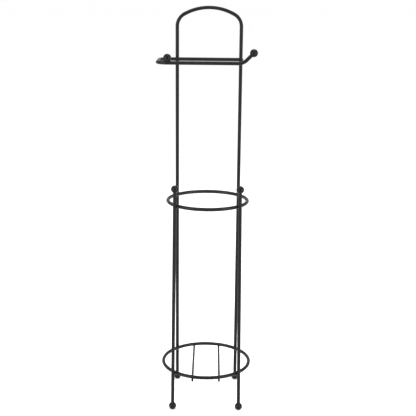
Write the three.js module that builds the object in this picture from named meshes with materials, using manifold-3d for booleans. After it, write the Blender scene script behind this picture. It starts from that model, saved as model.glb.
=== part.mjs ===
// A free-standing toilet roll holder made of black powder-coated steel wire.
// One tall hoop stands at the back, two short legs stand at the front, and two rings tie the four legs
// together. Spare rolls stack up inside the rings on two thin cross wires. A bent arm on the hoop holds the
// roll in use. Every free wire end is closed by a ball, and the four lowest balls are the feet.
// The wires are welded where they meet. The weld metal is not modelled: a small gap stands in its place.
// Millimetres, +Z up, front towards -Y. The part stands on z = 0.
import * as THREE from "three";
import { mergeVertices } from "three/addons/utils/BufferGeometryUtils.js";
import Module from "manifold-3d";

// ---- Wires and balls ----
const wireDiameter = 5.5; // hoop, legs, rings and arm
const crossWireDiameter = 3.5; // the two wires that carry the spare rolls
const ballDiameter = 12;
const footFlatDepth = 0.2; // how much is ground off the underside of each foot ball

// ---- Overall ----
const overallHeight = 630.5; // floor to the top of the hoop

// ---- Rings: radii are to the wire's centre line ----
const upperRingRadius = 62.5;
const upperRingHeight = 331.5;
const lowerRingRadius = 70;
const lowerRingHeight = 60.5;

// ---- Rear hoop ----
const hoopWidth = 99.2; // between the centre lines of its two legs
const hoopShoulderRadius = 21;
const hoopCrownRadius = 79;

// ---- Front legs ----
const frontLegSpreadUpper = 100; // between their centre lines at the upper ring
const frontLegSpreadLower = 104.6; // and at the lower ring
const frontLegTopAboveRing = 27.3; // top ball's centre above the upper ring's centre line

// ---- Cross wires ----
const crossWireSpacing = 42;
const crossWireOverhang = 1; // past the outside of the lower ring, at each end

// ---- Roll arm ----
const armBelowTop = 81.6; // from the top of the hoop down to both bars' centre lines
const armReach = 76; // from the rear bar to the front bar
const armPastLeftLeg = 26.8; // from the hoop's left leg to the end stretch, centre lines
const armLapPastRightLeg = 1; // how far the rear bar's cut end passes the right leg's centre line
const armCornerRadius = 16;
const tipBendBeforeRightLeg = 5.6; // the front bar turns up this far short of the right leg
const tipBendRadius = 17;
const tipBendAngle = 45;
const tipLength = 14.5; // straight wire from the bend to the tip ball's centre
const stopBallInset = 15.1; // from the end stretch's centre line to the roll stop's centre
const stopBallRise = 7.3; // its centre above the front bar's centre line, so the bar notches it a little

// ---- Fits ----
const gap = 0.3; // between pieces that meet

// ---- Facets ----
const wireSides = 12;
const ringSteps = 60;
const ballSides = 16;
const ballRows = 10;
const bendStep = 9; // degrees of bend from one section of a wire to the next

const wireRadius = wireDiameter / 2;
const crossWireRadius = crossWireDiameter / 2;
const ballRadius = ballDiameter / 2;
const footCentreHeight = ballRadius - footFlatDepth;
const wireContact = wireDiameter + gap; // centre to centre of two wires side by side

const X = new THREE.Vector3(1, 0, 0);
const Y = new THREE.Vector3(0, 1, 0);
const Z = new THREE.Vector3(0, 0, 1);
const degrees = THREE.MathUtils.degToRad;

const wasm = await Module();
wasm.setup();

const powderCoat = new THREE.MeshStandardMaterial({ color: 0x1d1e1e, roughness: 0.42, metalness: 0.25 });
const ballCoat = new THREE.MeshStandardMaterial({ color: 0x171818, roughness: 0.3, metalness: 0.25 });

// The centre line of a bent wire: straight runs and round bends laid one after the other.
class WirePath extends THREE.Curve {
  constructor(start, heading) {
    super();
    this.stations = [{ point: start.clone(), heading: heading.clone() }];
  }

  get end() {
    return this.stations[this.stations.length - 1];
  }

  straight(length) {
    const { point, heading } = this.end;
    this.stations.push({ point: point.clone().addScaledVector(heading, length), heading: heading.clone() });
    return this;
  }

  // Turns the heading about an axis by the right-hand rule.
  bend(radius, angle, axis) {
    const { point, heading } = this.end;
    const towardsCentre = new THREE.Vector3().crossVectors(axis, heading);
    const centre = point.clone().addScaledVector(towardsCentre, radius);
    const steps = Math.ceil(angle / bendStep);
    for (let i = 1; i <= steps; i++) {
      const turn = degrees(angle * (i / steps));
      this.stations.push({
        point: point.clone().sub(centre).applyAxisAngle(axis, turn).add(centre),
        heading: heading.clone().applyAxisAngle(axis, turn),
      });
    }
    return this;
  }

  get steps() {
    return this.stations.length - 1;
  }

  getPointAt(u, target = new THREE.Vector3()) {
    return target.copy(this.stations[Math.round(u * this.steps)].point);
  }

  getTangentAt(u, target = new THREE.Vector3()) {
    return target.copy(this.stations[Math.round(u * this.steps)].heading);
  }
}

function roundSection(radius) {
  const corners = [];
  for (let i = 0; i < wireSides; i++) {
    const angle = (2 * Math.PI * i) / wireSides;
    corners.push(new THREE.Vector2(radius * Math.cos(angle), radius * Math.sin(angle)));
  }
  return new THREE.Shape(corners);
}

function bentWire(path, radius) {
  return new THREE.ExtrudeGeometry(roundSection(radius), {
    steps: path.steps,
    extrudePath: path,
    bevelEnabled: false,
  });
}

// A straight wire whose middle is at the origin and whose length lies along Z.
function straightWire(length, radius) {
  return new THREE.CylinderGeometry(radius, radius, length, wireSides).rotateX(Math.PI / 2);
}

// A closed geometry as a solid that can be cut.
function solidOf(geometry) {
  const bare = geometry.clone();
  bare.deleteAttribute("normal");
  bare.deleteAttribute("uv");
  const merged = mergeVertices(bare, 1e-4);
  return new wasm.Manifold(
    new wasm.Mesh({
      numProp: 3,
      vertProperties: merged.attributes.position.array,
      triVerts: new Uint32Array(merged.index.array),
    }),
  );
}

function geometryOf(solid) {
  const mesh = solid.getMesh();
  const geometry = new THREE.BufferGeometry();
  geometry.setAttribute("position", new THREE.BufferAttribute(mesh.vertProperties, 3));
  geometry.setIndex(new THREE.BufferAttribute(mesh.triVerts, 1));
  geometry.computeVertexNormals();
  return geometry;
}

const holder = new THREE.Group();

function addMesh(parent, name, geometry, material) {
  const mesh = new THREE.Mesh(geometry, material);
  mesh.name = name;
  parent.add(mesh);
  return mesh;
}

function ballSolid() {
  return solidOf(new THREE.SphereGeometry(ballRadius, ballSides, ballRows).rotateX(Math.PI / 2));
}

// A turned ball with a blind hole that a wire's end sits in, up to the ball's centre.
function ballForWireEnd(towardsWire) {
  const hole = new THREE.CylinderGeometry(wireRadius + gap, wireRadius + gap, ballDiameter, wireSides)
    .translate(0, ballRadius - gap, 0)
    .applyQuaternion(new THREE.Quaternion().setFromUnitVectors(Y, towardsWire));
  return ballSolid().subtract(solidOf(hole));
}

function endBall(name, centre, towardsWire) {
  addMesh(holder, name, geometryOf(ballForWireEnd(towardsWire)), ballCoat).position.copy(centre);
}

// A foot is a ball on a wire with a small flat ground on its underside, at z = 0.
function footBall(name, centre, towardsWire) {
  const ground = new THREE.BoxGeometry(ballDiameter, ballDiameter, ballDiameter);
  ground.translate(0, 0, -footCentreHeight - ballRadius);
  const foot = ballForWireEnd(towardsWire).subtract(solidOf(ground));
  addMesh(holder, name, geometryOf(foot), ballCoat).position.copy(centre);
}

// How far in front of or behind a ring's centre a wire stands that touches the ring's outside at this x.
function depthOutsideRing(ringRadius, x) {
  return Math.sqrt((ringRadius + wireContact) ** 2 - x ** 2);
}

// ---- Rings ----
function ring(name, ringRadius, height) {
  const torus = new THREE.TorusGeometry(ringRadius, wireRadius, wireSides, ringSteps);
  addMesh(holder, name, torus, powderCoat).position.z = height;
}
ring("upper_ring", upperRingRadius, upperRingHeight);
ring("lower_ring", lowerRingRadius, lowerRingHeight);

// ---- Rear hoop: it stands outside both rings, so it leans a little forward ----
const hoopX = hoopWidth / 2;
const hoopDepthUpper = depthOutsideRing(upperRingRadius, hoopX);
const hoopDepthLower = depthOutsideRing(lowerRingRadius, hoopX);
const ringRise = upperRingHeight - lowerRingHeight;
const hoopLean = Math.atan((hoopDepthLower - hoopDepthUpper) / ringRise);

function hoopDepthAt(height) {
  return hoopDepthLower - (height - lowerRingHeight) * Math.tan(hoopLean);
}

function hoopPath() {
  const crownToShoulderUp = Math.sqrt(
    (hoopCrownRadius - hoopShoulderRadius) ** 2 - (hoopX - hoopShoulderRadius) ** 2,
  );
  const crownHalfAngle = THREE.MathUtils.radToDeg(
    Math.atan2(hoopX - hoopShoulderRadius, crownToShoulderUp),
  );
  const crownHeight = (overallHeight - wireRadius - footCentreHeight) / Math.cos(hoopLean);
  const legLength = crownHeight - (hoopCrownRadius - crownToShoulderUp);
  return new WirePath(new THREE.Vector3(-hoopX, 0, 0), Z)
    .straight(legLength)
    .bend(hoopShoulderRadius, 90 - crownHalfAngle, Y)
    .bend(hoopCrownRadius, 2 * crownHalfAngle, Y)
    .bend(hoopShoulderRadius, 90 - crownHalfAngle, Y)
    .straight(legLength);
}

const hoopFrame = new THREE.Group();
hoopFrame.position.set(0, hoopDepthAt(footCentreHeight), footCentreHeight);
hoopFrame.rotation.x = hoopLean;
holder.add(hoopFrame);
addMesh(hoopFrame, "rear_hoop", bentWire(hoopPath(), wireRadius), powderCoat);
const hoopUp = Z.clone().applyAxisAngle(X, hoopLean);

// ---- Front legs: each runs straight from its foot to its top ball, outside both rings ----
function frontLegPoint(side, height) {
  const share = (height - lowerRingHeight) / ringRise;
  const xLower = frontLegSpreadLower / 2;
  const xUpper = frontLegSpreadUpper / 2;
  const yLower = -depthOutsideRing(lowerRingRadius, xLower);
  const yUpper = -depthOutsideRing(upperRingRadius, xUpper);
  return new THREE.Vector3(
    side * THREE.MathUtils.lerp(xLower, xUpper, share),
    THREE.MathUtils.lerp(yLower, yUpper, share),
    height,
  );
}

const sides = { left: -1, right: 1 };
for (const [word, side] of Object.entries(sides)) {
  const foot = frontLegPoint(side, footCentreHeight);
  const top = frontLegPoint(side, upperRingHeight + frontLegTopAboveRing);
  const up = top.clone().sub(foot).normalize();
  const length = foot.distanceTo(top);
  const leg = addMesh(holder, `front_leg_${word}`, straightWire(length, wireRadius), powderCoat);
  leg.position.copy(foot).lerp(top, 0.5);
  leg.quaternion.setFromUnitVectors(Z, up);
  footBall(`foot_ball_front_${word}`, foot, up);
  endBall(`leg_top_ball_${word}`, top, up.clone().negate());
  const rearFoot = new THREE.Vector3(side * hoopX, hoopDepthAt(footCentreHeight), footCentreHeight);
  footBall(`foot_ball_rear_${word}`, rearFoot, hoopUp);
}

// ---- Cross wires, under the lower ring ----
const crossWireX = crossWireSpacing / 2;
const crossWireDrop = wireRadius + crossWireRadius + gap;
const crossWireHeight = lowerRingHeight - crossWireDrop;
const crossWireHalfLength =
  Math.sqrt((lowerRingRadius + wireRadius) ** 2 - crossWireX ** 2) + crossWireOverhang;
for (const [word, side] of Object.entries(sides)) {
  const geometry = straightWire(2 * crossWireHalfLength, crossWireRadius);
  const wire = addMesh(holder, `cross_wire_${word}`, geometry, powderCoat);
  wire.rotation.x = Math.PI / 2;
  wire.position.set(side * crossWireX, 0, crossWireHeight);
}

// ---- Roll arm: a rear bar across the hoop, an end stretch forward on the left, and the front bar ----
const armHeight = overallHeight - armBelowTop;
const rearBarY = hoopDepthAt(armHeight) - wireContact / Math.cos(hoopLean);
const frontBarY = rearBarY - armReach;
const armLeftX = -hoopX - armPastLeftLeg;
const rearBarEnd = new THREE.Vector3(hoopX + armLapPastRightLeg, rearBarY, armHeight);
const cornerX = armLeftX + armCornerRadius;
const tipBendX = hoopX - tipBendBeforeRightLeg;

function armPath() {
  return new WirePath(rearBarEnd, X.clone().negate())
    .straight(rearBarEnd.x - cornerX)
    .bend(armCornerRadius, 90, Z)
    .straight(armReach - 2 * armCornerRadius)
    .bend(armCornerRadius, 90, Z)
    .straight(tipBendX - cornerX)
    .bend(tipBendRadius, tipBendAngle, Y.clone().negate())
    .straight(tipLength);
}

addMesh(holder, "roll_arm", bentWire(armPath(), wireRadius), powderCoat);
const armTip = armPath().end;
endBall("arm_tip_ball", armTip.point, armTip.heading.clone().negate());

// The roll stop stands on the front bar, which notches its underside.
const stopX = armLeftX + stopBallInset;
const stopCentre = new THREE.Vector3(stopX, frontBarY, armHeight + stopBallRise);
const notch = bentWire(armPath(), wireRadius + gap).translate(...stopCentre.clone().negate().toArray());
const rollStop = geometryOf(ballSolid().subtract(solidOf(notch)));
addMesh(holder, "roll_stop_ball", rollStop, ballCoat).position.copy(stopCentre);

// The frame's origin is under the middle of the whole outline, at floor level.
const outline = new THREE.Box3().setFromObject(holder, true);
holder.position.x = -(outline.min.x + outline.max.x) / 2;
holder.position.y = -(outline.min.y + outline.max.y) / 2;

const toiletRollHolder = new THREE.Group();
toiletRollHolder.add(holder);

export default toiletRollHolder;
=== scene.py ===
"""Dresses a free-standing toilet roll holder welded from black powder-coated steel wire.

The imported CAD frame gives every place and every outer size. Each CAD node is replaced by a finely built
mesh of the same wire or ball, and each weld that the frame leaves out is built as a bead of weld metal
under the coating. Lengths are in metres, +Z is up and the holder's front faces -Y.
"""

import logging
import math
from collections.abc import Callable, Sequence
from dataclasses import dataclass, field
from enum import Enum
from functools import cache
from typing import ClassVar, Protocol

import bmesh
import bpy
import numpy as np
from mathutils import Matrix, Vector, noise


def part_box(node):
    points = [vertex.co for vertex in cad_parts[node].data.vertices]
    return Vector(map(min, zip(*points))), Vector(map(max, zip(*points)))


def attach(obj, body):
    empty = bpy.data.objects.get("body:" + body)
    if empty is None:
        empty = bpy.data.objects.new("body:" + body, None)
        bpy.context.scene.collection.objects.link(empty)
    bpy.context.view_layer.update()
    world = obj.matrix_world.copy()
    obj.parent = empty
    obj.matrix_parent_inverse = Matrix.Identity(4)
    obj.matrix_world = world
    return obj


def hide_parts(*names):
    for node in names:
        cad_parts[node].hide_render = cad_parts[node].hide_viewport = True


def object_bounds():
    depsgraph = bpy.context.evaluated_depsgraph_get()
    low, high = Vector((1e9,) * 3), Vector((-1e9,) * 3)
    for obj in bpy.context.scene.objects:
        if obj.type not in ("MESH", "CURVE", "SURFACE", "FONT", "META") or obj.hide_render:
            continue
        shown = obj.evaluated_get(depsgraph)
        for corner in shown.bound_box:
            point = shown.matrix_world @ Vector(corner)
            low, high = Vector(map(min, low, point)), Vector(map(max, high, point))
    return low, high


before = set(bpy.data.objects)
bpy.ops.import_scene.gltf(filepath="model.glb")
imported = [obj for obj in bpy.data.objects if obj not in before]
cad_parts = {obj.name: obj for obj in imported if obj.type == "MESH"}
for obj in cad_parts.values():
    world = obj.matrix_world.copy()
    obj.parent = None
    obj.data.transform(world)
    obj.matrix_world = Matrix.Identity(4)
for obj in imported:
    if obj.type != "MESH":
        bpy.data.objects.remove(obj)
cad_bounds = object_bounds()

MM = 0.001
BODY = "root"
X = Vector((1, 0, 0))
Y = Vector((0, 1, 0))
Z = Vector((0, 0, 1))

log = logging.getLogger("toilet_roll_holder")

Wear = Callable[[Vector, Vector], float]


class Side(Enum):
    """Which half of the holder, as its user sees it from the front."""

    LEFT = -1
    RIGHT = 1

    @property
    def word(self) -> str:
        """The side's name as the frame's nodes spell it."""
        return self.name.lower()


class Depth(Enum):
    """Front or rear of the holder."""

    FRONT = -1
    REAR = 1

    @property
    def word(self) -> str:
        """The place's name as the frame's nodes spell it."""
        return self.name.lower()


class WireEnd(Enum):
    """How a wire is finished where it stops."""

    IN_BALL = "hidden in the bore of a ball"
    SHEARED = "sheared off square, with its edge rounded by the coating"


class Slot(Enum):
    """Names of the material slots for the wire and the balls."""

    WIRE = "powder_coated_wire"
    BALL = "powder_coated_ball"


# ---------------------------------------------------------------------------------------------------------
# Finishes
# ---------------------------------------------------------------------------------------------------------


@dataclass(frozen=True)
class PowderCoat:
    """A baked-on powder coat: near black, with a fine orange-peel skin.

    Attributes:
        name: The material's name.
        colour: Linear colour of a clean patch.
        cloud_colour: Linear colour of the slightly paler clouds in the coat.
        roughness: Of the smoothest patches.
        roughness_swing: How much rougher the dullest patches are.
        rub_polish: How much smoother the coat gets where rolls and hands rub it.
        rub_colour: Linear colour that rubbed patches tend to.
        peel_size: Width of one dimple of the orange peel.
        peel_height: Height of the orange peel.
        grain_size: Width of one grain of fused powder.
        grain_height: Height of the grain.
        cloud_size: Width of one cloud of paler coat.
        dull_size: Width of one dull patch.
        streak_size: Width of one rubbed streak.
        octave_share: How strongly each finer octave of a pattern shows.
        cloud_band: The pattern values between which the cloud colour fades in.
        dull_band: The pattern values between which the roughness swings.
        ior: Refractive index of the coat's skin; the matting agent keeps it low.
    """

    name: str
    colour: tuple[float, float, float]
    cloud_colour: tuple[float, float, float]
    roughness: float
    roughness_swing: float
    rub_polish: float
    rub_colour: tuple[float, float, float]
    peel_size: float
    peel_height: float
    grain_size: float
    grain_height: float
    ior: float
    cloud_size: ClassVar[float] = 9 * MM
    dull_size: ClassVar[float] = 3.2 * MM
    streak_size: ClassVar[float] = 5 * MM
    octave_share: ClassVar[float] = 0.55
    cloud_band: ClassVar[tuple[float, float]] = (0.35, 0.7)
    dull_band: ClassVar[tuple[float, float]] = (0.3, 0.7)

    def material(self) -> bpy.types.Material:
        """Builds the node material.

        Returns:
            The material, ready to be put on a mesh.
        """
        material = bpy.data.materials.new(self.name)
        material.use_nodes = True
        tree = material.node_tree
        shader = tree.nodes["Principled BSDF"]
        shader.inputs["Metallic"].default_value = 0.0
        shader.inputs["IOR"].default_value = self.ior
        place = tree.nodes.new("ShaderNodeTexCoord").outputs["Object"]

        clouds = self._noise(tree, place, self.cloud_size, detail=3.0)
        rub = self._rub(tree, place)
        coat_colour = self._mix(tree, clouds, self.colour, self.cloud_colour)
        worn_colour = tree.nodes.new("ShaderNodeMix")
        worn_colour.data_type = "RGBA"
        tree.links.new(rub, worn_colour.inputs["Factor"])
        tree.links.new(coat_colour, worn_colour.inputs["A"])
        worn_colour.inputs["B"].default_value = (*self.rub_colour, 1.0)
        tree.links.new(worn_colour.outputs["Result"], shader.inputs["Base Color"])

        dullness = self._noise(tree, place, self.dull_size, detail=4.0)
        spread = tree.nodes.new("ShaderNodeMapRange")
        spread.inputs["From Min"].default_value, spread.inputs["From Max"].default_value = self.dull_band
        spread.inputs["To Min"].default_value = self.roughness
        spread.inputs["To Max"].default_value = self.roughness + self.roughness_swing
        tree.links.new(dullness, spread.inputs["Value"])
        polish = tree.nodes.new("ShaderNodeMath")
        polish.operation = "MULTIPLY_ADD"
        polish.inputs[1].default_value = -self.rub_polish
        tree.links.new(rub, polish.inputs[0])
        tree.links.new(spread.outputs["Result"], polish.inputs[2])
        tree.links.new(polish.outputs["Value"], shader.inputs["Roughness"])

        peel = self._noise(tree, place, self.peel_size, detail=1.0)
        grain = self._noise(tree, place, self.grain_size, detail=2.0)
        peel_bump = self._bump(tree, peel, self.peel_height, None)
        grain_bump = self._bump(tree, grain, self.grain_height, peel_bump)
        tree.links.new(grain_bump, shader.inputs["Normal"])
        return material

    def _rub(
        self, tree: bpy.types.NodeTree, place: bpy.types.NodeSocket
    ) -> bpy.types.NodeSocket:
        """Breaks the mesh's rub attribute up into streaky patches.

        Args:
            tree: The material's nodes.
            place: The position to read the pattern at.

        Returns:
            How rubbed the coat is, from 0 to 1.
        """
        attribute = tree.nodes.new("ShaderNodeAttribute")
        attribute.attribute_name = "rub"
        streaks = self._noise(tree, place, self.streak_size, detail=5.0)
        product = tree.nodes.new("ShaderNodeMath")
        product.operation = "MULTIPLY"
        product.use_clamp = True
        tree.links.new(attribute.outputs["Fac"], product.inputs[0])
        tree.links.new(streaks, product.inputs[1])
        return product.outputs["Value"]

    def _noise(
        self, tree: bpy.types.NodeTree, place: bpy.types.NodeSocket, size: float, detail: float
    ) -> bpy.types.NodeSocket:
        """Adds a noise pattern.

        Args:
            tree: The material's nodes.
            place: The position to read the pattern at.
            size: Width of one blotch.
            detail: How many finer octaves it holds.

        Returns:
            The pattern's value, around 0.5.
        """
        node = tree.nodes.new("ShaderNodeTexNoise")
        node.inputs["Scale"].default_value = 1.0 / size
        node.inputs["Detail"].default_value = detail
        node.inputs["Roughness"].default_value = self.octave_share
        tree.links.new(place, node.inputs["Vector"])
        return node.outputs["Fac"]

    def _mix(
        self,
        tree: bpy.types.NodeTree,
        factor: bpy.types.NodeSocket,
        low: tuple[float, float, float],
        high: tuple[float, float, float],
    ) -> bpy.types.NodeSocket:
        """Mixes two colours by a pattern.

        Args:
            tree: The material's nodes.
            factor: The pattern.
            low: The colour where it is dark.
            high: The colour where it is bright.

        Returns:
            The mixed colour.
        """
        ramp = tree.nodes.new("ShaderNodeValToRGB")
        for element, position, colour in zip(
            ramp.color_ramp.elements, self.cloud_band, (low, high), strict=True
        ):
            element.position = position
            element.color = (*colour, 1.0)
        tree.links.new(factor, ramp.inputs["Fac"])
        return ramp.outputs["Color"]

    @staticmethod
    def _bump(
        tree: bpy.types.NodeTree,
        pattern: bpy.types.NodeSocket,
        height: float,
        under: bpy.types.NodeSocket | None,
    ) -> bpy.types.NodeSocket:
        """Adds relief.

        Args:
            tree: The material's nodes.
            pattern: The height pattern.
            height: The relief's full height.
            under: A relief to lay this one over, if there is one.

        Returns:
            The bent normal.
        """
        node = tree.nodes.new("ShaderNodeBump")
        node.inputs["Strength"].default_value = 1.0
        node.inputs["Distance"].default_value = height
        tree.links.new(pattern, node.inputs["Height"])
        if under is not None:
            tree.links.new(under, node.inputs["Normal"])
        return node.outputs["Normal"]


SATIN_BLACK = PowderCoat(
    name="satin_black_powder_coat",
    colour=(0.0046, 0.0047, 0.0049),
    cloud_colour=(0.0078, 0.0079, 0.0082),
    roughness=0.3,
    roughness_swing=0.1,
    rub_polish=0.14,
    rub_colour=(0.014, 0.014, 0.0145),
    peel_size=1.3 * MM,
    peel_height=0.035 * MM,
    grain_size=0.35 * MM,
    grain_height=0.006 * MM,
    ior=1.2,
)

GLOSSY_BLACK = PowderCoat(
    name="semi_gloss_black_ball_coat",
    colour=(0.0022, 0.0023, 0.0024),
    cloud_colour=(0.0036, 0.0037, 0.0039),
    roughness=0.15,
    roughness_swing=0.05,
    rub_polish=0.0,
    rub_colour=(0.006, 0.006, 0.006),
    peel_size=1.6 * MM,
    peel_height=0.025 * MM,
    grain_size=0.4 * MM,
    grain_height=0.004 * MM,
    ior=1.22,
)

WELD_BLACK = PowderCoat(
    name="black_powder_coat_over_weld",
    colour=(0.0044, 0.0045, 0.0047),
    cloud_colour=(0.0074, 0.0075, 0.0078),
    roughness=0.36,
    roughness_swing=0.14,
    rub_polish=0.0,
    rub_colour=(0.01, 0.01, 0.01),
    peel_size=0.9 * MM,
    peel_height=0.07 * MM,
    grain_size=0.3 * MM,
    grain_height=0.012 * MM,
    ior=1.2,
)


# ---------------------------------------------------------------------------------------------------------
# Mesh work
# ---------------------------------------------------------------------------------------------------------


@dataclass
class Surface:
    """A closed surface: its points, and its faces as rows of point numbers."""

    points: list[Vector]
    faces: list[tuple[int, ...]]


@dataclass(frozen=True)
class NodeBox:
    """The box of one CAD node."""

    low: Vector
    high: Vector

    @classmethod
    @cache
    def of(cls, node: str) -> "NodeBox":
        """Reads the box of a node by its name."""
        return cls(*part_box(node))

    @property
    def size(self) -> Vector:
        """The box's three lengths."""
        return self.high - self.low

    @property
    def middle(self) -> Vector:
        """The box's centre."""
        return (self.low + self.high) / 2


def loft(
    rings: Sequence[Sequence[Vector]], closed: bool, domes: tuple[Vector, Vector] | None = None
) -> Surface:
    """Joins rings of points, each to the next.

    Args:
        rings: Rings of equally many points, in order.
        closed: Whether the last ring joins the first.
        domes: The middle points of the two caps, where the loft isn't closed.

    Returns:
        The closed surface.
    """
    sides = len(rings[0])
    points = [point for ring in rings for point in ring]
    faces: list[tuple[int, ...]] = []
    spans = len(rings) if closed else len(rings) - 1
    for i in range(spans):
        here = i * sides
        there = (i + 1) % len(rings) * sides
        for j in range(sides):
            k = (j + 1) % sides
            faces.append((here + j, here + k, there + k, there + j))
    if domes is not None:
        first, last = len(points), len(points) + 1
        points.extend(domes)
        end = (len(rings) - 1) * sides
        for j in range(sides):
            k = (j + 1) % sides
            faces.append((first, k, j))
            faces.append((last, end + j, end + k))
    return Surface(points, faces)


def turn(profile: Sequence[tuple[float, float]], sides: int) -> Surface:
    """Turns a profile about Z.

    Args:
        profile: Radius and height pairs. The first and the last are on the axis.
        sides: How many sides the turned form has.

    Returns:
        The closed surface.
    """
    rings = []
    for radius, height in profile[1:-1]:
        ring = []
        for j in range(sides):
            angle = 2 * math.pi * j / sides
            ring.append(Vector((radius * math.cos(angle), radius * math.sin(angle), height)))
        rings.append(ring)
    ends = (Vector((0, 0, profile[0][1])), Vector((0, 0, profile[-1][1])))
    return loft(rings, closed=False, domes=ends)


def arc(
    centre: tuple[float, float], radius: float, start: float, stop: float, steps: int
) -> list[tuple[float, float]]:
    """Points along a round stretch of a profile.

    Args:
        centre: The arc's centre.
        radius: Its radius.
        start: Angle of its first point, in radians.
        stop: Angle of its last point.
        steps: How many steps it takes.

    Returns:
        The points, both ends included.
    """
    points = []
    for i in range(steps + 1):
        angle = start + (stop - start) * i / steps
        points.append((centre[0] + radius * math.cos(angle), centre[1] + radius * math.sin(angle)))
    return points


def add_piece(
    name: str,
    surface: Surface,
    finish: bpy.types.Material,
    stands_for: str | None = None,
    wear: Wear | None = None,
) -> bpy.types.Object:
    """Makes a shown piece from a surface, in place, and ties it to the frame.

    Args:
        name: The piece's name.
        surface: Its surface, in the row frame.
        finish: Its material.
        stands_for: The CAD node that it replaces, if there is one.
        wear: Gives how rubbed the coat is, from a point and its normal.

    Returns:
        The new object.
    """
    mesh = bpy.data.meshes.new(name)
    mesh.from_pydata([tuple(point) for point in surface.points], [], surface.faces)
    tidy = bmesh.new()
    tidy.from_mesh(mesh)
    bmesh.ops.recalc_face_normals(tidy, faces=tidy.faces)
    tidy.to_mesh(mesh)
    tidy.free()
    mesh.shade_smooth()
    mesh.materials.append(finish)
    if wear is not None:
        rub = mesh.attributes.new("rub", "FLOAT", "POINT")
        values = [wear(vertex.co, vertex.normal) for vertex in mesh.vertices]
        rub.data.foreach_set("value", values)
    piece = bpy.data.objects.new(name, mesh)
    bpy.context.scene.collection.objects.link(piece)
    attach(piece, BODY)
    if stands_for is not None:
        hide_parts(stands_for)
    log.info("%s: %d faces", name, len(mesh.polygons))
    return piece


# ---------------------------------------------------------------------------------------------------------
# Wire
# ---------------------------------------------------------------------------------------------------------


@dataclass(frozen=True)
class Station:
    """One place on a wire's centre line.

    Attributes:
        point: Where it is.
        heading: The way the wire runs.
        normal: A fixed side of the wire, which doesn't twist as the wire bends.
        squeeze: Towards the centre of the bend, and longest in its middle. Zero on a straight.
    """

    point: Vector
    heading: Vector
    normal: Vector
    squeeze: Vector


class WireRoute:
    """A wire's centre line, laid as straight runs and round bends one after the other."""

    straight_step = 9 * MM
    bend_step = math.radians(2.5)

    def __init__(self, start: Vector, heading: Vector, normal: Vector) -> None:
        """Starts the route.

        Args:
            start: Its first point.
            heading: The way it sets off.
            normal: A direction at right angles to the heading.
        """
        self.stations = [Station(start.copy(), heading.normalized(), normal.normalized(), Vector())]

    def straight(self, length: float) -> "WireRoute":
        """Adds a straight run.

        Args:
            length: Its length.

        Returns:
            The route, for the next run.
        """
        last = self.stations[-1]
        steps = max(1, round(length / self.straight_step))
        for i in range(1, steps + 1):
            point = last.point + last.heading * (length * i / steps)
            self.stations.append(Station(point, last.heading, last.normal, Vector()))
        return self

    def bend(self, radius: float, angle: float, axis: Vector) -> "WireRoute":
        """Adds a round bend.

        Args:
            radius: To the centre line.
            angle: In radians, by the right-hand rule about the axis.
            axis: The axis that the wire is bent about.

        Returns:
            The route, for the next run.
        """
        last = self.stations[-1]
        inward = axis.cross(last.heading)
        centre = last.point + inward * radius
        steps = max(1, math.ceil(angle / self.bend_step))
        for i in range(1, steps + 1):
            spin = Matrix.Rotation(angle * i / steps, 3, axis)
            amount = math.sin(math.pi * i / steps)
            self.stations.append(
                Station(
                    centre + spin @ (last.point - centre),
                    spin @ last.heading,
                    spin @ last.normal,
                    (spin @ inward) * amount,
                )
            )
        return self

    @property
    def points(self) -> list[Vector]:
        """The centre line's points."""
        return [station.point for station in self.stations]


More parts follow.
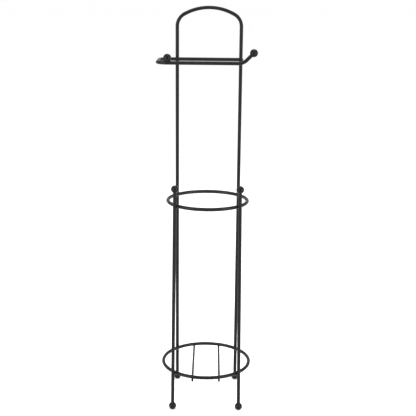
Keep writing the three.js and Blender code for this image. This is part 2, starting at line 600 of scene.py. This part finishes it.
@dataclass(frozen=True)
class WireStock:
    """Round drawn wire of one size.

    Attributes:
        radius: Of the coated wire.
        sides: How many sides its section has.
        flattening: How much a bend flattens the section, as a share of its radius.
        edge_round: Radius of the coating round a sheared end's edge.
        edge_steps: How many steps that radius takes.
        dome: How far a sheared face bulges.
    """

    radius: float
    sides: int = 32
    flattening: float = 0.035
    edge_round: float = 0.55 * MM
    edge_steps: int = 4
    dome: float = 0.12 * MM

    def section(self, station: Station, scale: float = 1.0) -> list[Vector]:
        """The wire's outline at one station.

        Args:
            station: Where.
            scale: Of the outline, 1 for the full wire.

        Returns:
            The outline's points.
        """
        across = station.heading.cross(station.normal)
        outline = []
        for j in range(self.sides):
            angle = 2 * math.pi * j / self.sides
            out = station.normal * math.cos(angle) + across * math.sin(angle)
            out -= station.squeeze * (out.dot(station.squeeze) * self.flattening)
            outline.append(station.point + out * (self.radius * scale))
        return outline

    def run(self, route: WireRoute, start: WireEnd, stop: WireEnd) -> Surface:
        """The surface of a wire with two ends.

        Args:
            route: Its centre line.
            start: How its first end is finished.
            stop: How its last end is finished.

        Returns:
            The closed surface.
        """
        stations = route.stations
        middle = [self.section(station) for station in stations[1:-1]]
        head = self._end(stations[0], -stations[0].heading, start)
        tail = self._end(stations[-1], stations[-1].heading, stop)
        domes = []
        for station, sign, end in ((stations[0], -1, start), (stations[-1], 1, stop)):
            bulge = self.dome if end is WireEnd.SHEARED else 0.0
            domes.append(station.point + station.heading * (sign * bulge))
        return loft([*reversed(head), *middle, *tail], closed=False, domes=(domes[0], domes[1]))

    def _end(self, station: Station, outward: Vector, end: WireEnd) -> list[list[Vector]]:
        """The last rings of a wire, from the full section to the end's face.

        Args:
            station: The end's station.
            outward: The way out of the wire.
            end: How it is finished.

        Returns:
            The rings, in order towards the end.
        """
        if end is WireEnd.IN_BALL:
            return [self.section(station)]
        rings = []
        for i in range(self.edge_steps + 1):
            angle = math.pi / 2 * i / self.edge_steps
            inset = self.edge_round * (1 - math.sin(angle))
            shrink = self.edge_round * (1 - math.cos(angle))
            place = Station(
                station.point - outward * inset, station.heading, station.normal, station.squeeze
            )
            rings.append(self.section(place, 1 - shrink / self.radius))
        return rings

    def hoop(self, centre: Vector, radius: float, seam: float, seam_swell: float) -> Surface:
        """The surface of a wire closed on itself into a level ring, with its butt weld dressed smooth.

        Args:
            centre: The ring's centre.
            radius: Of the ring, to the wire's centre line.
            seam: Angle of the butt weld, in radians.
            seam_swell: How much thicker the wire is at the weld, as a share of its radius.

        Returns:
            The closed surface.
        """
        steps = 192
        seam_width = 1.6 * MM
        rings = []
        for i in range(steps):
            angle = seam + 2 * math.pi * i / steps
            out = Vector((math.cos(angle), math.sin(angle), 0))
            station = Station(centre + out * radius, Z.cross(out), out, Vector())
            away = radius * min(i, steps - i) * 2 * math.pi / steps
            swell = seam_swell * math.exp(-((away / seam_width) ** 2))
            rings.append(self.section(station, 1 + swell))
        return loft(rings, closed=True)


# ---------------------------------------------------------------------------------------------------------
# Turned balls
# ---------------------------------------------------------------------------------------------------------


@dataclass(frozen=True)
class TurnedBall:
    """A turned steel ball on the end of a wire, with a small neck of coating where the wire goes in.

    Attributes:
        radius: Of the ball.
        wire_radius: Of the wire that goes into it.
        neck: Radius of the fillet between the ball and the wire.
        sides: How many sides it has.
        rows: How many steps its round outline takes.
        neck_steps: How many steps the fillet takes.
        plug: Radius of the face hidden in the wire, as a share of the wire's.
    """

    radius: float
    wire_radius: float
    neck: float = 0.9 * MM
    sides: int = 48
    rows: int = 36
    neck_steps: int = 6
    plug: float = 0.9

    def profile(self) -> list[tuple[float, float]]:
        """The ball's outline about its wire, which runs up from it."""
        reach = self.wire_radius + self.neck
        height = math.sqrt((self.radius + self.neck) ** 2 - reach**2)
        tangent = math.atan2(height, reach)
        body = arc((0.0, 0.0), self.radius, -math.pi / 2, tangent, self.rows)
        neck = arc((reach, height), self.neck, tangent - math.pi, -math.pi, self.neck_steps)
        inside = self.wire_radius * self.plug
        return [(0.0, body[0][1]), *body[1:], *neck[1:], (inside, height), (0.0, height)]

    def on_wire(self, centre: Vector, towards_wire: Vector) -> Surface:
        """The ball's surface where it stands.

        Args:
            centre: Its centre.
            towards_wire: The way the wire leaves it.

        Returns:
            The closed surface.
        """
        surface = turn(self.profile(), self.sides)
        spin = Z.rotation_difference(towards_wire)
        surface.points = [centre + spin @ point for point in surface.points]
        return surface

    def plain(self, centre: Vector) -> Surface:
        """The surface of a whole ball about its centre."""
        outline = arc((0.0, 0.0), self.radius, -math.pi / 2, math.pi / 2, self.rows)
        inner = outline[1:-1]
        surface = turn([(0.0, -self.radius), *inner, (0.0, self.radius)], self.sides)
        surface.points = [centre + point for point in surface.points]
        return surface


# ---------------------------------------------------------------------------------------------------------
# Welds
# ---------------------------------------------------------------------------------------------------------


class Solid(Protocol):
    """Anything that a weld can join."""

    def distance(self, points: np.ndarray) -> np.ndarray:
        """How far outside the solid each point is, and less than 0 inside it."""


@dataclass(frozen=True)
class WireSolid:
    """A stretch of round wire."""

    line: np.ndarray
    radius: float

    @classmethod
    def near(cls, points: Sequence[Vector], radius: float, place: Vector, reach: float) -> "WireSolid":
        """Takes the stretch of a wire that comes near a place.

        Args:
            points: The wire's centre line.
            radius: The wire's radius.
            place: The place.
            reach: How far from the place the stretch goes on, at least.

        Returns:
            The stretch.
        """
        line = np.array([tuple(point) for point in points])
        first = np.array(tuple(place))
        starts, ends = line[:-1], line[1:]
        run = ends - starts
        share = ((first - starts) * run).sum(1) / (run * run).sum(1)
        nearest = starts + run * np.clip(share, 0, 1)[:, None]
        close = np.linalg.norm(nearest - first, axis=1) < reach
        keep = np.flatnonzero(close)
        return cls(line[keep[0] : keep[-1] + 2], radius)

    def distance(self, points: np.ndarray) -> np.ndarray:
        """How far outside the wire each point is."""
        best = np.full(len(points), np.inf)
        for start, end in zip(self.line[:-1], self.line[1:], strict=True):
            run = end - start
            share = np.clip(((points - start) @ run) / (run @ run), 0, 1)
            gap = np.linalg.norm(points - start - share[:, None] * run, axis=1)
            best = np.minimum(best, gap)
        return best - self.radius


@dataclass(frozen=True)
class BallSolid:
    """A ball."""

    centre: Vector
    radius: float

    def distance(self, points: np.ndarray) -> np.ndarray:
        """How far outside the ball each point is."""
        return np.linalg.norm(points - np.array(tuple(self.centre)), axis=1) - self.radius


@dataclass(frozen=True)
class WeldBead:
    """Weld metal that has flowed into the crevice between two solids, under the coating.

    The bead is the smooth union of both solids near their contact, seen from the contact. Where it meets a
    solid's own surface it sinks just under it.

    Attributes:
        first: One solid.
        second: The other.
        contact: A point between the two, where they come closest.
        blend: How wide the bead is.
        reach: How far it goes from the contact, at most.
        sink: How far it goes under the solids' surfaces.
        ripple: Height of the waves on the bead.
        ripple_size: Length of one wave.
        steps: How many places each ray is tried at before the crossing is worked out.
        subdivisions: How often the sphere of rays is split.
    """

    first: Solid
    second: Solid
    contact: Vector
    blend: float = 2.0 * MM
    reach: float = 5.0 * MM
    sink: float = 0.05 * MM
    ripple: float = 0.1 * MM
    ripple_size: float = 1.1 * MM
    steps: int = 120
    subdivisions: int = 5

    def surface(self) -> Surface:
        """Builds the bead.

        Returns:
            The closed surface.
        """
        rays, faces = self._rays()
        lengths = np.linspace(0, self.reach, self.steps + 1)[1:]
        start = np.array(tuple(self.contact))
        places = start + rays[:, None, :] * lengths[None, :, None]
        depth = self._joined(places.reshape(-1, 3)).reshape(len(rays), self.steps) + self.sink
        outside = depth > 0
        crossing = np.where(outside.any(1), outside.argmax(1), self.steps - 1)
        reached = []
        for row, k in zip(depth, crossing, strict=True):
            length = lengths[k]
            if row[k] > 0 and k > 0:
                length -= (lengths[k] - lengths[k - 1]) * row[k] / (row[k] - row[k - 1])
            reached.append(length)
        skin = start + rays * np.array(reached)[:, None]
        waves = [noise.noise(Vector(place) / self.ripple_size) for place in skin]
        skin += rays * (np.array(waves) * self.ripple * self._crevice(skin))[:, None]
        return Surface([Vector(place) for place in skin], faces)

    def _rays(self) -> tuple[np.ndarray, list[tuple[int, ...]]]:
        """Directions spread evenly over a sphere, and the triangles that join them."""
        ball = bmesh.new()
        bmesh.ops.create_icosphere(ball, subdivisions=self.subdivisions, radius=1.0)
        ball.verts.ensure_lookup_table()
        rays = np.array([tuple(vertex.co) for vertex in ball.verts])
        faces = [tuple(vertex.index for vertex in face.verts) for face in ball.faces]
        ball.free()
        return rays, faces

    def _joined(self, points: np.ndarray) -> np.ndarray:
        """How far outside the smooth union of both solids each point is."""
        a = self.first.distance(points)
        b = self.second.distance(points)
        share = np.maximum(self.blend - np.abs(a - b), 0) / self.blend
        return np.minimum(a, b) - share**2 * self.blend / 4

    def _crevice(self, points: np.ndarray) -> np.ndarray:
        """How much each point belongs to the bead: 0 on a solid's own surface, 1 between the solids."""
        apart = np.abs(self.first.distance(points) - self.second.distance(points))
        return np.maximum(1.0 - apart / self.blend, 0.0)


# ---------------------------------------------------------------------------------------------------------
# Sub-assemblies
# ---------------------------------------------------------------------------------------------------------


@dataclass
class EndBalls:
    """The balls that close the wires' free ends: four feet, two leg tops and the arm's tip.

    Attributes:
        finish: The material of every ball.
        foot_flat: How much is ground off the underside of each foot.
    """

    finish: bpy.types.Material
    foot_flat: float = 0.2 * MM

    def foot_centre(self, depth: Depth, side: Side) -> Vector:
        """Where the centre of a foot ball is.

        Args:
            depth: Front or rear.
            side: Left or right.

        Returns:
            The centre.
        """
        box = NodeBox.of(f"foot_ball_{depth.word}_{side.word}")
        radius = box.size.x / 2
        return Vector((box.middle.x, box.middle.y, box.low.z + radius - self.foot_flat))

    def leg_top_centre(self, side: Side) -> Vector:
        """Where the centre of a front leg's top ball is."""
        box = NodeBox.of(f"leg_top_ball_{side.word}")
        return Vector((box.middle.x, box.middle.y, box.high.z - box.size.x / 2))

    def add_foot(self, depth: Depth, side: Side, wire_radius: float, towards_wire: Vector) -> None:
        """Adds a foot ball with its ground flat.

        Args:
            depth: Front or rear.
            side: Left or right.
            wire_radius: Of the leg's wire.
            towards_wire: The way the leg leaves it.
        """
        node = f"foot_ball_{depth.word}_{side.word}"
        ball = TurnedBall(NodeBox.of(node).size.x / 2, wire_radius)
        surface = ball.on_wire(self.foot_centre(depth, side), towards_wire)
        floor = NodeBox.of(node).low.z
        for point in surface.points:
            point.z = max(point.z, floor)
        add_piece(f"{node}_turned", surface, self.finish, node)

    def add_end(self, node: str, centre: Vector, wire_radius: float, towards_wire: Vector) -> None:
        """Adds a whole ball on a wire's end.

        Args:
            node: The CAD node that it stands for.
            centre: Its centre.
            wire_radius: Of the wire.
            towards_wire: The way the wire leaves it.
        """
        ball = TurnedBall(NodeBox.of(node).size.x / 2, wire_radius)
        add_piece(f"{node}_turned", ball.on_wire(centre, towards_wire), self.finish, node)


@dataclass
class RearHoop:
    """The tall hoop: one wire bent to a flattened arch, whose legs stand on the rear foot balls.

    Attributes:
        finish: The wire's material.
        balls: The end balls.
        shoulder_radius: Of the two tighter bends, to the centre line.
        crown_radius: Of the wide bend between them.
    """

    finish: bpy.types.Material
    balls: EndBalls
    shoulder_radius: float = 21 * MM
    crown_radius: float = 79 * MM
    stock: WireStock = field(init=False)
    route: WireRoute = field(init=False)

    def __post_init__(self) -> None:
        """Takes the wire's size from the rings, which are of the same stock, and lays its route."""
        self.stock = WireStock(NodeBox.of("upper_ring").size.z / 2)
        self.route = self._route()

    def leg_point(self, side: Side, height: float) -> Vector:
        """Where a leg's centre line is at a height.

        Args:
            side: Left or right.
            height: The height.

        Returns:
            The point.
        """
        foot = self.balls.foot_centre(Depth.REAR, side)
        return foot + self.up * ((height - foot.z) / self.up.z)

    @property
    def up(self) -> Vector:
        """The way that the legs run, up from the feet."""
        box = NodeBox.of("rear_hoop")
        foot = self.balls.foot_centre(Depth.REAR, Side.LEFT)
        top = Vector((foot.x, box.low.y + self.stock.radius, box.high.z - self.stock.radius))
        return (top - foot).normalized()

    def _route(self) -> WireRoute:
        """Lays the hoop from the left foot over the arch to the right foot."""
        left = self.balls.foot_centre(Depth.REAR, Side.LEFT)
        right = self.balls.foot_centre(Depth.REAR, Side.RIGHT)
        half = (right - left).length / 2
        side_run = half - self.shoulder_radius
        rise = math.sqrt((self.crown_radius - self.shoulder_radius) ** 2 - side_run**2)
        crown_half_angle = math.atan2(side_run, rise)
        shoulder_angle = math.pi / 2 - crown_half_angle
        top = NodeBox.of("rear_hoop").high.z - self.stock.radius
        crown = (top - left.z) / self.up.z
        leg = crown - (self.crown_radius - rise)
        backward = self.up.cross(X).normalized()
        route = WireRoute(left, self.up, backward)
        route.straight(leg)
        route.bend(self.shoulder_radius, shoulder_angle, backward)
        route.bend(self.crown_radius, 2 * crown_half_angle, backward)
        route.bend(self.shoulder_radius, shoulder_angle, backward)
        return route.straight(leg)

    def add(self) -> None:
        """Adds the hoop and its two feet."""
        wire = self.stock.run(self.route, WireEnd.IN_BALL, WireEnd.IN_BALL)
        add_piece("rear_hoop_wire", wire, self.finish, "rear_hoop")
        for side in Side:
            self.balls.add_foot(Depth.REAR, side, self.stock.radius, self.up)


@dataclass
class FrontLeg:
    """A short straight leg with a foot ball below and a ball on top.

    Attributes:
        side: Left or right.
        finish: The wire's material.
        balls: The end balls.
    """

    side: Side
    finish: bpy.types.Material
    balls: EndBalls
    stock: WireStock = field(init=False)
    route: WireRoute = field(init=False)

    def __post_init__(self) -> None:
        """Takes the wire's size from the rings, which are of the same stock, and lays its route."""
        self.stock = WireStock(NodeBox.of("upper_ring").size.z / 2)
        foot = self.balls.foot_centre(Depth.FRONT, self.side)
        top = self.balls.leg_top_centre(self.side)
        self.route = WireRoute(foot, self.up, self.up.orthogonal()).straight((top - foot).length)

    @property
    def up(self) -> Vector:
        """The way that the leg runs, up from its foot."""
        foot = self.balls.foot_centre(Depth.FRONT, self.side)
        return (self.balls.leg_top_centre(self.side) - foot).normalized()

    def leg_point(self, height: float) -> Vector:
        """Where the leg's centre line is at a height."""
        foot = self.balls.foot_centre(Depth.FRONT, self.side)
        return foot + self.up * ((height - foot.z) / self.up.z)

    def add(self) -> None:
        """Adds the leg, its foot and its top ball."""
        word = self.side.word
        wire = self.stock.run(self.route, WireEnd.IN_BALL, WireEnd.IN_BALL)
        add_piece(f"front_leg_{word}_wire", wire, self.finish, f"front_leg_{word}")
        self.balls.add_foot(Depth.FRONT, self.side, self.stock.radius, self.up)
        top = self.balls.leg_top_centre(self.side)
        self.balls.add_end(f"leg_top_ball_{word}", top, self.stock.radius, -self.up)


@dataclass
class RollRing:
    """A level ring that ties the four legs together round the spare rolls.

    Attributes:
        node: The CAD node that it stands for.
        finish: The wire's material.
        seam: Angle of the ring's butt weld, in radians.
        seam_swell: How much thicker the wire is at the butt weld.
    """

    node: str
    finish: bpy.types.Material
    seam: float = math.pi / 2
    seam_swell: float = 0.05

    @property
    def stock(self) -> WireStock:
        """The wire that the ring is made of."""
        return WireStock(NodeBox.of(self.node).size.z / 2)

    @property
    def centre(self) -> Vector:
        """The ring's centre."""
        return NodeBox.of(self.node).middle

    @property
    def radius(self) -> float:
        """The ring's radius, to the wire's centre line."""
        return NodeBox.of(self.node).size.x / 2 - self.stock.radius

    def point_at(self, angle: float) -> Vector:
        """A point on the centre line.

        Args:
            angle: In radians, from +X towards +Y.

        Returns:
            The point.
        """
        return self.centre + Vector((math.cos(angle), math.sin(angle), 0)) * self.radius

    def arc_near(self, angle: float) -> list[Vector]:
        """A short stretch of the centre line on both sides of an angle."""
        spread = math.radians(14)
        steps = 16
        return [self.point_at(angle + spread * (2 * i / steps - 1)) for i in range(steps + 1)]

    def rubbed(self, point: Vector, normal: Vector) -> float:
        """How rubbed the coat is: on the inside, where rolls slide past."""
        inward = self.centre - point
        inward.z = 0
        return max(0.0, normal.dot(inward.normalized())) ** 2

    def add(self) -> None:
        """Adds the ring."""
        surface = self.stock.hoop(self.centre, self.radius, self.seam, self.seam_swell)
        add_piece(f"{self.node}_wire", surface, self.finish, self.node, self.rubbed)


@dataclass
class CrossWire:
    """A thin wire across the underside of the lower ring, which the spare rolls stand on.

    Attributes:
        side: Left or right.
        finish: The wire's material.
    """

    side: Side
    finish: bpy.types.Material

    @property
    def node(self) -> str:
        """The CAD node that it stands for."""
        return f"cross_wire_{self.side.word}"

    @property
    def stock(self) -> WireStock:
        """The wire that it is made of."""
        return WireStock(NodeBox.of(self.node).size.z / 2, sides=24, edge_round=0.4 * MM)

    @property
    def route(self) -> WireRoute:
        """Its centre line, from front to back."""
        box = NodeBox.of(self.node)
        margin = self.stock.dome
        start = Vector((box.middle.x, box.low.y + margin, box.middle.z))
        return WireRoute(start, Y, X).straight(box.size.y - 2 * margin)

    @staticmethod
    def rubbed(point: Vector, normal: Vector) -> float:
        """How rubbed the coat is: on top, where the rolls stand."""
        return max(0.0, normal.z) ** 2

    def add(self) -> None:
        """Adds the wire."""
        wire = self.stock.run(self.route, WireEnd.SHEARED, WireEnd.SHEARED)
        add_piece(f"{self.node}_rod", wire, self.finish, self.node, self.rubbed)


@dataclass
class RollArm:
    """The bent arm: a rear bar on the hoop, an end stretch on the left and the front bar with its tip.

    Attributes:
        hoop: The hoop that it is welded to.
        finish: The wire's material.
        balls: The end balls.
        lap: How far the rear bar's sheared end passes the right leg's centre line.
        corner_radius: Of the two level bends, to the centre line.
        tip_radius: Of the bend up to the tip.
        tip_angle: How far the tip turns up.
    """

    hoop: RearHoop
    finish: bpy.types.Material
    balls: EndBalls
    lap: float = 1.0 * MM
    corner_radius: float = 16 * MM
    tip_radius: float = 17 * MM
    tip_angle: float = math.radians(45)
    route: WireRoute = field(init=False)

    def __post_init__(self) -> None:
        """Lays the arm's route."""
        self.route = self._route()

    @property
    def stock(self) -> WireStock:
        """The wire that the arm is made of, which is the hoop's."""
        return self.hoop.stock

    @property
    def height(self) -> float:
        """Height of both bars' centre lines."""
        return NodeBox.of("roll_arm").low.z + self.stock.radius

    @property
    def rear_y(self) -> float:
        """Where the rear bar's centre line is, front to back."""
        return NodeBox.of("roll_arm").high.y - self.stock.radius

    @property
    def front_y(self) -> float:
        """Where the front bar's centre line is, front to back."""
        return NodeBox.of("roll_arm").low.y + self.stock.radius

    @property
    def tip(self) -> Vector:
        """The tip ball's centre."""
        return NodeBox.of("arm_tip_ball").middle

    def _route(self) -> WireRoute:
        """Lays the arm from the rear bar's sheared end to the tip ball."""
        left_x = NodeBox.of("roll_arm").low.x + self.stock.radius
        corner_x = left_x + self.corner_radius
        right_leg = self.hoop.leg_point(Side.RIGHT, self.height)
        start = Vector((right_leg.x + self.lap, self.rear_y, self.height))
        bend_rise = self.tip_radius * (1 - math.cos(self.tip_angle))
        tip_run = (self.tip.z - self.height - bend_rise) / math.sin(self.tip_angle)
        bend_x = self.tip.x - self.tip_radius * math.sin(self.tip_angle)
        bend_x -= tip_run * math.cos(self.tip_angle)
        route = WireRoute(start, -X, Z)
        route.straight(start.x - corner_x)
        route.bend(self.corner_radius, math.pi / 2, Z)
        route.straight(self.rear_y - self.front_y - 2 * self.corner_radius)
        route.bend(self.corner_radius, math.pi / 2, Z)
        route.straight(bend_x - corner_x)
        route.bend(self.tip_radius, self.tip_angle, -Y)
        return route.straight(tip_run)

    def rubbed(self, point: Vector, normal: Vector) -> float:
        """How rubbed the coat is: on top of the front bar, where the roll's core turns."""
        on_front_bar = point.y < self.front_y + 2 * self.stock.radius
        return max(0.0, normal.z) ** 1.5 if on_front_bar else 0.0

    def add(self) -> None:
        """Adds the arm, its tip ball and its roll stop."""
        wire = self.stock.run(self.route, WireEnd.SHEARED, WireEnd.IN_BALL)
        add_piece("roll_arm_wire", wire, self.finish, "roll_arm", self.rubbed)
        back = -self.route.stations[-1].heading
        self.balls.add_end("arm_tip_ball", self.tip, self.stock.radius, back)
        stop = TurnedBall(NodeBox.of("roll_stop_ball").size.x / 2, self.stock.radius)
        surface = stop.plain(self.stop_centre)
        add_piece("roll_stop_ball_turned", surface, self.balls.finish, "roll_stop_ball")

    @property
    def stop_centre(self) -> Vector:
        """The roll stop's centre."""
        box = NodeBox.of("roll_stop_ball")
        return Vector((box.middle.x, box.middle.y, box.high.z - box.size.x / 2))


@dataclass
class Welds:
    """Every weld of the holder.

    Attributes:
        hoop: The rear hoop.
        legs: Both front legs.
        rings: Both rings.
        cross_wires: Both cross wires.
        arm: The roll arm.
        finish: The material of the coated weld metal.
        thin_blend: Width of the bead where a cross wire is one of the two.
        thin_reach: How far the bead on a cross wire goes from the contact, at most.
        stop_blend: Width of the bead round the roll stop's foot.
        stop_reach: How far that bead goes from the contact, at most.
        wire_span: How far from a contact a leg, ring or bar is still followed.
        thin_span: The same where a cross wire is one of the two.
        stop_span: The same round the roll stop's foot.
    """

    hoop: RearHoop
    legs: list[FrontLeg]
    rings: list[RollRing]
    cross_wires: list[CrossWire]
    arm: RollArm
    finish: bpy.types.Material
    thin_blend: float = 1.5 * MM
    thin_reach: float = 3.4 * MM
    stop_blend: float = 1.4 * MM
    stop_reach: float = 7.5 * MM
    wire_span: float = 12 * MM
    thin_span: float = 10 * MM
    stop_span: float = 14 * MM

    def _add(self, name: str, bead: WeldBead) -> None:
        """Adds one bead."""
        add_piece(name, bead.surface(), self.finish)

    def add_leg_welds(self, ring: RollRing) -> None:
        """Adds the four beads that tie a ring to the legs.

        Args:
            ring: The ring.
        """
        legs = {}
        for leg in self.legs:
            legs[f"front_{leg.side.word}"] = (leg.leg_point(ring.centre.z), leg.route.points)
        for side in Side:
            at_leg = self.hoop.leg_point(side, ring.centre.z)
            legs[f"rear_{side.word}"] = (at_leg, self.hoop.route.points)
        for word, (at_leg, line) in legs.items():
            out = at_leg - ring.centre
            angle = math.atan2(out.y, out.x)
            contact = (at_leg + ring.point_at(angle)) / 2
            span = self.wire_span
            leg_solid = WireSolid.near(line, self.hoop.stock.radius, contact, span)
            ring_solid = WireSolid.near(ring.arc_near(angle), ring.stock.radius, contact, span)
            self._add(f"weld_{ring.node}_{word}", WeldBead(leg_solid, ring_solid, contact))

    def add_arm_welds(self) -> None:
        """Adds the two beads that hold the arm's rear bar to the hoop."""
        for side in Side:
            at_leg = self.hoop.leg_point(side, self.arm.height)
            at_bar = Vector((at_leg.x, self.arm.rear_y, self.arm.height))
            contact = (at_leg + at_bar) / 2
            radius = self.hoop.stock.radius
            leg_solid = WireSolid.near(self.hoop.route.points, radius, contact, self.wire_span)
            bar_solid = WireSolid.near(self.arm.route.points, radius, contact, self.wire_span)
            self._add(f"weld_arm_{side.word}", WeldBead(leg_solid, bar_solid, contact))

    def add_cross_wire_welds(self, ring: RollRing) -> None:
        """Adds the four beads that hold the cross wires under the lower ring.

        Args:
            ring: The lower ring.
        """
        for wire in self.cross_wires:
            line = wire.route.points
            across = line[0].x - ring.centre.x
            for depth in Depth:
                along = depth.value * math.sqrt(ring.radius**2 - across**2)
                angle = math.atan2(along, across)
                on_ring = ring.point_at(angle)
                on_wire = Vector((on_ring.x, on_ring.y, line[0].z))
                low_side = on_ring - Z * ring.stock.radius
                high_side = on_wire + Z * wire.stock.radius
                contact = (low_side + high_side) / 2
                span = self.thin_span
                wire_solid = WireSolid.near(line, wire.stock.radius, contact, span)
                ring_solid = WireSolid.near(ring.arc_near(angle), ring.stock.radius, contact, span)
                bead = WeldBead(wire_solid, ring_solid, contact, self.thin_blend, self.thin_reach)
                self._add(f"weld_cross_wire_{wire.side.word}_{depth.word}", bead)

    def add_stop_weld(self) -> None:
        """Adds the bead round the foot of the roll stop."""
        centre = self.arm.stop_centre
        bar = Vector((centre.x, self.arm.front_y, self.arm.height))
        contact = (centre + bar) / 2
        ball = BallSolid(centre, NodeBox.of("roll_stop_ball").size.x / 2)
        line = self.arm.route.points
        bar_solid = WireSolid.near(line, self.arm.stock.radius, contact, self.stop_span)
        bead = WeldBead(ball, bar_solid, contact, self.stop_blend, self.stop_reach)
        self._add("weld_roll_stop", bead)

    def add(self) -> None:
        """Adds every weld."""
        for ring in self.rings:
            self.add_leg_welds(ring)
        self.add_arm_welds()
        self.add_cross_wire_welds(self.rings[-1])
        self.add_stop_weld()


# ---------------------------------------------------------------------------------------------------------
# Studio
# ---------------------------------------------------------------------------------------------------------


@dataclass(frozen=True)
class Softbox:
    """A large soft light.

    Attributes:
        name: Its name.
        place: Its centre, from the middle of the holder.
        size: Its width and height.
        power: In watts.
    """

    name: str
    place: tuple[float, float, float]
    size: tuple[float, float]
    power: float

    def add(self, target: Vector) -> None:
        """Adds the light.

        Args:
            target: The point that it faces.
        """
        data = bpy.data.lights.new(self.name, "AREA")
        data.shape = "RECTANGLE"
        data.size, data.size_y = self.size
        data.energy = self.power
        light = bpy.data.objects.new(self.name, data)
        light.location = target + Vector(self.place)
        light.rotation_euler = (-Vector(self.place)).to_track_quat("-Z", "Y").to_euler()
        bpy.context.scene.collection.objects.link(light)


@dataclass(frozen=True)
class Viewpoint:
    """The camera, set from the upper ring's centre and from the ground.

    Attributes:
        aside: How far right of the ring's centre it stands.
        distance: How far in front of the ring's centre it stands.
        height: Its height over the floor.
        yaw: How far it is turned to the left.
        pitch: How far it looks down.
        roll: How far it leans to the left.
        lens: Focal length.
        sensor: Width of the sensor, in the lens's unit.
        farthest: How far it sees.
    """

    aside: float = 6.2 * MM
    distance: float = 1357.9 * MM
    height: float = 652.8 * MM
    yaw: float = 0.004
    pitch: float = 0.2412
    roll: float = 0.0098
    lens: float = 76.5
    sensor: float = 36.0
    farthest: float = 500.0

    def add(self) -> None:
        """Adds the camera and makes it the scene's."""
        data = bpy.data.cameras.new("studio_camera")
        data.lens = self.lens
        data.sensor_width = self.sensor
        data.clip_end = self.farthest
        camera = bpy.data.objects.new("studio_camera", data)
        turn = Matrix.Rotation(self.yaw, 3, Z)
        forward = turn @ Vector((0, math.cos(self.pitch), -math.sin(self.pitch)))
        level = turn @ X
        right = level * math.cos(self.roll) + level.cross(forward) * math.sin(self.roll)
        up = right.cross(forward)
        turned = Matrix((right, up, -forward)).transposed()
        ring_centre = NodeBox.of("upper_ring").middle
        place = Vector((ring_centre.x + self.aside, ring_centre.y - self.distance, self.height))
        camera.matrix_world = Matrix.Translation(place) @ turned.to_4x4()
        bpy.context.scene.collection.objects.link(camera)
        bpy.context.scene.camera = camera


@dataclass
class Studio:
    """The plain pale floor, the soft light and the camera.

    Attributes:
        floor_radius: How far the floor goes.
        floor_sides: How many sides the floor's disc has.
        floor_colour: Linear colour of the floor.
        floor_roughness: Of its matt surface.
        floor_gloss: Strength of its gloss.
        sky_strength: Brightness of the surrounding white.
        softboxes: The studio's lights.
        viewpoint: The camera.
    """

    floor_radius: float = 60.0
    floor_sides: int = 96
    floor_colour: tuple[float, float, float] = (0.94, 0.94, 0.94)
    floor_roughness: float = 0.9
    floor_gloss: float = 0.1
    sky_strength: float = 1.06
    softboxes: tuple[Softbox, ...] = (
        Softbox("overhead_softbox", (0.0, -0.2, 1.9), (1.6, 1.2), 26.0),
        Softbox("left_softbox", (-1.5, -1.2, 0.5), (0.7, 1.4), 34.0),
        Softbox("right_softbox", (1.5, -1.2, 0.5), (0.7, 1.4), 34.0),
    )
    viewpoint: Viewpoint = Viewpoint()

    def add(self) -> None:
        """Adds the floor, the surroundings, the lights and the camera."""
        self._add_floor()
        self._add_sky()
        middle = sum((Vector(corner) for corner in cad_bounds), Vector()) / 2
        for softbox in self.softboxes:
            softbox.add(middle)
        self.viewpoint.add()
        bpy.context.scene.view_settings.view_transform = "Standard"

    def _add_floor(self) -> None:
        """Adds the floor, as a disc with its own matt material."""
        disc = bmesh.new()
        bmesh.ops.create_circle(
            disc, cap_ends=True, segments=self.floor_sides, radius=self.floor_radius
        )
        mesh = bpy.data.meshes.new("studio_floor")
        disc.to_mesh(mesh)
        disc.free()
        material = bpy.data.materials.new("pale_studio_floor")
        material.use_nodes = True
        shader = material.node_tree.nodes["Principled BSDF"]
        shader.inputs["Base Color"].default_value = (*self.floor_colour, 1.0)
        shader.inputs["Roughness"].default_value = self.floor_roughness
        shader.inputs["Specular IOR Level"].default_value = self.floor_gloss
        mesh.materials.append(material)
        floor = bpy.data.objects.new("studio_floor", mesh)
        floor.location = (0, 0, cad_bounds[0][2])
        bpy.context.scene.collection.objects.link(floor)

    def _add_sky(self) -> None:
        """Surrounds the scene with even white."""
        world = bpy.data.worlds.new("studio_white")
        world.use_nodes = True
        background = world.node_tree.nodes["Background"]
        background.inputs["Color"].default_value = (1.0, 1.0, 1.0, 1.0)
        background.inputs["Strength"].default_value = self.sky_strength
        bpy.context.scene.world = world


def main() -> None:
    """Builds the studio and then the holder, one sub-assembly after the other."""
    logging.basicConfig(level=logging.INFO, format="%(message)s")
    Studio().add()

    wire_coat = SATIN_BLACK.material()
    balls = EndBalls(GLOSSY_BLACK.material())
    hoop = RearHoop(wire_coat, balls)
    legs = [FrontLeg(side, wire_coat, balls) for side in Side]
    rings = [RollRing(node, wire_coat) for node in ("upper_ring", "lower_ring")]
    cross_wires = [CrossWire(side, wire_coat) for side in Side]
    arm = RollArm(hoop, wire_coat, balls)
    welds = Welds(hoop, legs, rings, cross_wires, arm, WELD_BLACK.material())

    for part in (hoop, *legs, *rings, *cross_wires, arm, welds):
        part.add()
        log.info("%s is done", type(part).__name__)


if __name__ == "__main__":
    main()
